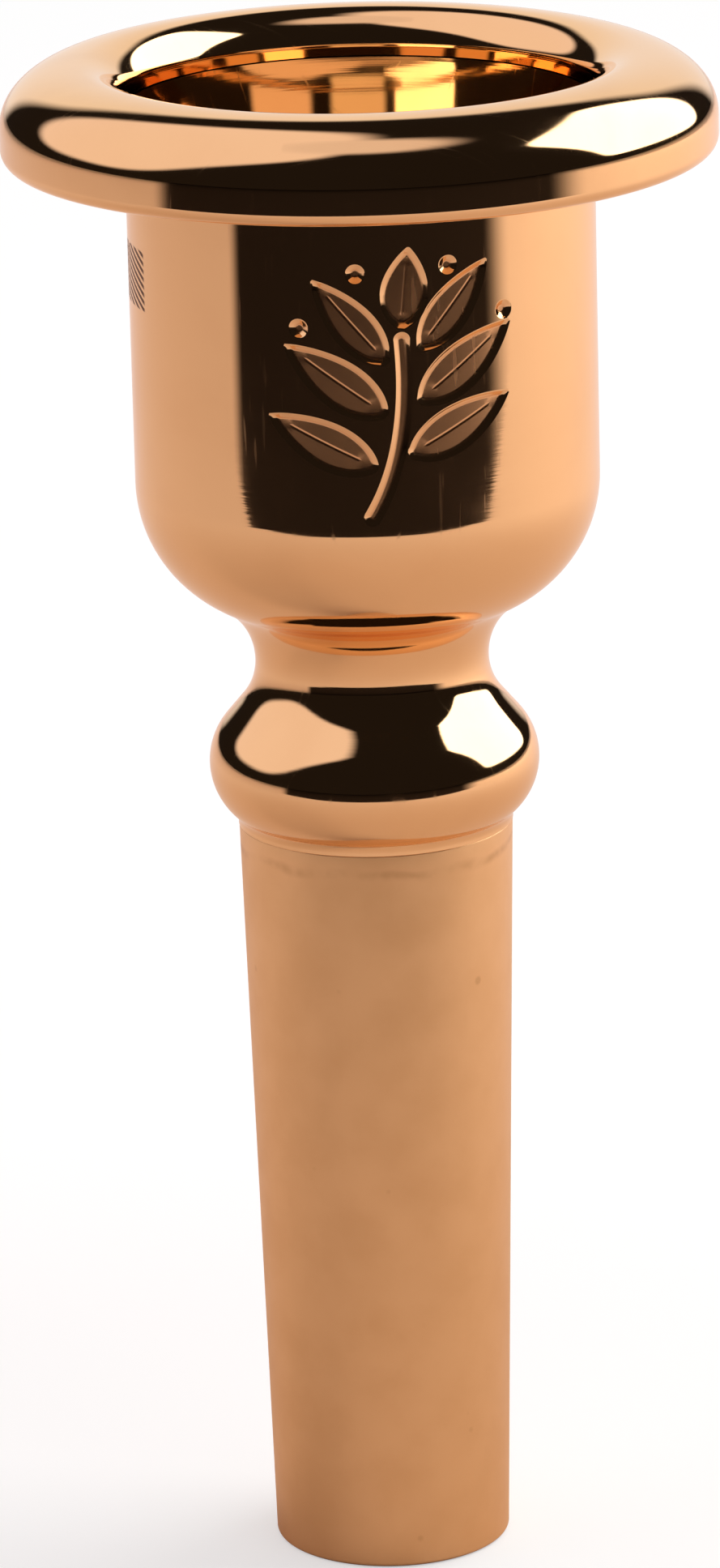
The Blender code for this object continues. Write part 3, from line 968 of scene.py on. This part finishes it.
rim_gold = bright_gold("polished_gold_plate_rim", 0.0000003)[0]
rim = turned("lip_rim", rim_outline(), rim_gold, RIM_COLUMNS, threads=[(RIM_THREAD, True)])
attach(rim, "rim")
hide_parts("rim")

# ---------------------------------------------------------------------------------------
# Table, lights and camera. The mouthpiece stands on a white table between two softboxes,
# under a third, with a white board behind it. In front the room is dark, and a black card
# on the table keeps it so in the polished gold. The lens sees none of these but the table.

OBJECT_MIDDLE = Vector((0.0, 0.0, 0.045))
TABLE_SIZE = 3.0
TABLE_NEAR, TABLE_FAR = 0.08, 0.4  # where the lit table passes into the plain backdrop tone
TABLE_LIFT = 0.5
TABLE_PAINTED_SHADOW_SPAN = 0.02, 0.17  # painted shadow: in the gold, the table round the foot shows darker than farther off
PALE = (0.985, 0.985, 0.985)
CARD_NEAR, CARD_FAR = 0.134, 2.2
CARD_LEFT, CARD_LEFT_FADE = 68, 7  # degrees from the front, and width of its thin edge
CARD_RIGHT, CARD_RIGHT_FADE = 76, 16
CARD_BOW = 0.085  # how much farther off the corners of its near edge are than its middle
CARD_SWEEP = 77  # degrees that the card's mesh reaches to either side
CARD_LIFT = 0.0005
CARD_BLACK = (0.018, 0.014, 0.0125, 1.0)
TABLE_DROP = 0.00001  # keeps the table's top just under the shank's end
TABLE_PAINTED_SHADOW, TABLE_PAINTED_SHADE = (0.61, 0.46, 0.38), (0.76, 0.63, 0.58)  # painted shade, darker and warmer than the lens sees the table, with a painted shadow round the foot, as the gold shows it
TABLE_SEEN = (0.94, 0.94, 0.94)  # as the lens sees it
ROOM_DARK = (0.014, 0.011, 0.0095, 1.0)


def table_white_painted_shade():
    """White paper. The gold shows it with painted shade, darker and warmer than the lens sees it, and
    with a painted shadow round the foot.
    """
    material = bpy.data.materials.new("table_white_painted_shade")
    material.use_nodes = True
    tree = material.node_tree
    tree.nodes.remove(tree.nodes["Principled BSDF"])
    end = tree.nodes["Material Output"]
    seen = add(tree, "ShaderNodeLightPath").outputs["Is Camera Ray"]
    place = place_of(tree)
    away = add(tree, "ShaderNodeVectorMath", {0: place}, operation="LENGTH").outputs["Value"]
    far = stepped(tree, away, TABLE_NEAR, TABLE_FAR, TABLE_LIFT, 1.0)
    far = maths(tree, "MULTIPLY", far, seen)
    # Painted shadow: the table's colour in the gold darkens towards the foot
    painted_shade = stepped(tree, away, *TABLE_PAINTED_SHADOW_SPAN)
    painted_shade = blended(tree, painted_shade, TABLE_PAINTED_SHADOW, TABLE_PAINTED_SHADE)
    # Painted shade: every ray but the lens's gets this darker, warmer colour of the table
    paper = blended(tree, seen, painted_shade, TABLE_SEEN)
    lit = add(tree, "ShaderNodeBsdfDiffuse", {"Color": paper}).outputs[0]
    plain = add(tree, "ShaderNodeEmission", {"Color": (*PALE, 1.0)}).outputs[0]
    mixed = add(tree, "ShaderNodeMixShader", {0: far, 1: lit, 2: plain}).outputs[0]
    tree.links.new(mixed, end.inputs["Surface"])
    return material


def flat_black():
    """Black cloth that thins out to nothing along the two sides of the card."""
    material = bpy.data.materials.new("card_black")
    material.use_nodes = True
    tree = material.node_tree
    tree.nodes.remove(tree.nodes["Principled BSDF"])
    x, y, _ = add(tree, "ShaderNodeSeparateXYZ", {0: place_of(tree)}).outputs
    turn = maths(tree, "ARCTAN2", x, maths(tree, "MULTIPLY", y, -1.0))
    left, right = math.radians(-CARD_LEFT), math.radians(CARD_RIGHT)
    cover = stepped(tree, turn, left, left + math.radians(CARD_LEFT_FADE))
    right_cover = stepped(tree, turn, right, right - math.radians(CARD_RIGHT_FADE))
    cover = maths(tree, "MULTIPLY", cover, right_cover)
    clear = tree.nodes.new("ShaderNodeBsdfTransparent").outputs[0]
    cloth = add(tree, "ShaderNodeBsdfDiffuse", {"Color": CARD_BLACK}).outputs[0]
    mixed = add(tree, "ShaderNodeMixShader", {0: cover, 1: clear, 2: cloth}).outputs[0]
    tree.links.new(mixed, tree.nodes["Material Output"].inputs["Surface"])
    return material


def rectangle(width, depth, height=0.0):
    sides = ((-1, -1), (1, -1), (1, 1), (-1, 1))
    return [(x * width / 2, y * depth / 2, height) for x, y in sides]


def flat_piece(name, corners, material):
    mesh = bpy.data.meshes.new(name)
    mesh.from_pydata(corners, [], [range(len(corners))])
    mesh.materials.append(material)
    made = in_scene(name, mesh)
    return made


flat_piece("table", rectangle(TABLE_SIZE, TABLE_SIZE, -TABLE_DROP), table_white_painted_shade())

sweep = [i / 20 - 1 for i in range(41)]
card_edge = [(CARD_NEAR + CARD_BOW * abs(i) ** 3, i) for i in sweep]
card_edge += [(CARD_FAR, i) for i in reversed(sweep)]
card_edge = [(reach, math.radians(CARD_SWEEP * i)) for reach, i in card_edge]
card_outline = [(reach * math.sin(a), -reach * math.cos(a), CARD_LIFT) for reach, a in card_edge]
card = flat_piece("black_card", card_outline, flat_black())
card.visible_camera = card.visible_diffuse = card.visible_shadow = False


def glow(name, size, brightness, colour, edge, corner):
    """Light that fades towards the edge of its panel, as the cloth of a softbox does."""
    material = bpy.data.materials.new(name)
    material.use_nodes = True
    tree = material.node_tree
    tree.nodes.remove(tree.nodes["Principled BSDF"])
    x, y, _ = add(tree, "ShaderNodeSeparateXYZ", {0: place_of(tree)}).outputs
    reach = 0.0
    for value, length in ((x, size[0]), (y, size[1])):
        share = maths(tree, "DIVIDE", maths(tree, "ABSOLUTE", value), length / 2)
        reach = maths(tree, "ADD", maths(tree, "POWER", share, corner), reach)
    reach = maths(tree, "POWER", reach, 1 / corner)
    cover = stepped(tree, reach, 1.0, 1.0 - edge)
    clear = tree.nodes.new("ShaderNodeBsdfTransparent").outputs[0]
    lit = {"Color": (*colour, 1.0), "Strength": brightness}
    lit = add(tree, "ShaderNodeEmission", lit).outputs[0]
    mixed = add(tree, "ShaderNodeMixShader", {0: cover, 1: clear, 2: lit}).outputs[0]
    tree.links.new(mixed, tree.nodes["Material Output"].inputs["Surface"])
    return material


Softbox = namedtuple("Softbox", "azimuth elevation distance size roll brightness colour edge corner")


def set_up(name, box):
    """A lit panel that faces the object. Azimuth is from the front, to the right."""
    across, up = math.radians(box.azimuth), math.radians(box.elevation)
    level = math.cos(up)
    way = Vector((math.sin(across) * level, -math.cos(across) * level, math.sin(up)))
    cloth = glow(name, box.size, box.brightness, box.colour, box.edge, box.corner)
    panel = flat_piece(name, rectangle(*box.size), cloth)
    lean = Matrix.Rotation(math.radians(box.roll), 3, "Z")
    turn = way.to_track_quat("Z", "Y").to_matrix() @ lean
    panel.matrix_world = Matrix.Translation(OBJECT_MIDDLE + way * box.distance) @ turn.to_4x4()
    panel.visible_camera = False


WARM_WHITE = (1.0, 0.87, 0.9)
set_up("right_softbox", Softbox(113, 31, 0.5, (0.56, 0.5), -8, 3.2, (1.0, 0.97, 0.95), 0.08, 8.0))
set_up("left_softbox", Softbox(-100, 50, 0.55, (0.84, 1.02), 0, 0.97, WARM_WHITE, 0.2, 3.0))
set_up("back_board", Softbox(180, 16, 0.6, (0.66, 0.54), 0, 0.95, (1.0, 0.93, 0.9), 0.3, 5.0))
set_up("overhead_softbox", Softbox(20, 87, 0.6, (0.44, 0.36), 0, 0.85, WARM_WHITE, 0.5, 2.0))

# A wide fill from the ceiling, high enough for the gold not to show it
fill = bpy.data.lights.new("ceiling_fill", "AREA")
fill.size = 1.2
fill.energy = 12.0
ceiling = bpy.data.objects.new("ceiling_fill", fill)
ceiling.location = (0.0, 0.0, 1.0)
ceiling.visible_glossy = ceiling.visible_camera = False
bpy.context.scene.collection.objects.link(ceiling)

world = bpy.data.worlds.new("studio")
bpy.context.scene.world = world
world.use_nodes = True
sky = world.node_tree
sky.nodes.clear()
seen = add(sky, "ShaderNodeLightPath").outputs["Is Camera Ray"]
dark = add(sky, "ShaderNodeBackground", {"Color": ROOM_DARK}).outputs[0]
pale = add(sky, "ShaderNodeBackground", {"Color": (*PALE, 1.0)}).outputs[0]
both = add(sky, "ShaderNodeMixShader", {0: seen, 1: dark, 2: pale}).outputs[0]
add(sky, "ShaderNodeOutputWorld", {0: both})
bpy.context.scene.view_settings.view_transform = "Standard"

CAMERA_PLACE = Vector((0.0, -0.29959, 0.12001))
CAMERA_TILT = math.radians(16.53)
CAMERA_TURN = math.radians(-0.114)
CAMERA_ROLL = math.radians(-1.445)
CAMERA_LENS = 183.26

level = math.cos(CAMERA_TILT)
forward = Vector((math.sin(CAMERA_TURN) * level, math.cos(CAMERA_TURN) * level, -math.sin(CAMERA_TILT)))
right = forward.cross(Vector((0, 0, 1))).normalized()
up = right.cross(forward)
leaned_right = right * math.cos(CAMERA_ROLL) + up * math.sin(CAMERA_ROLL)
leaned_up = up * math.cos(CAMERA_ROLL) - right * math.sin(CAMERA_ROLL)
lens = bpy.data.cameras.new("camera")
lens.lens = CAMERA_LENS
lens.clip_start = 0.01
camera = bpy.data.objects.new("camera", lens)
bpy.context.scene.collection.objects.link(camera)
turn = Matrix((leaned_right, leaned_up, -forward)).transposed().to_4x4()
camera.matrix_world = Matrix.Translation(CAMERA_PLACE) @ turn
bpy.context.scene.camera = camera
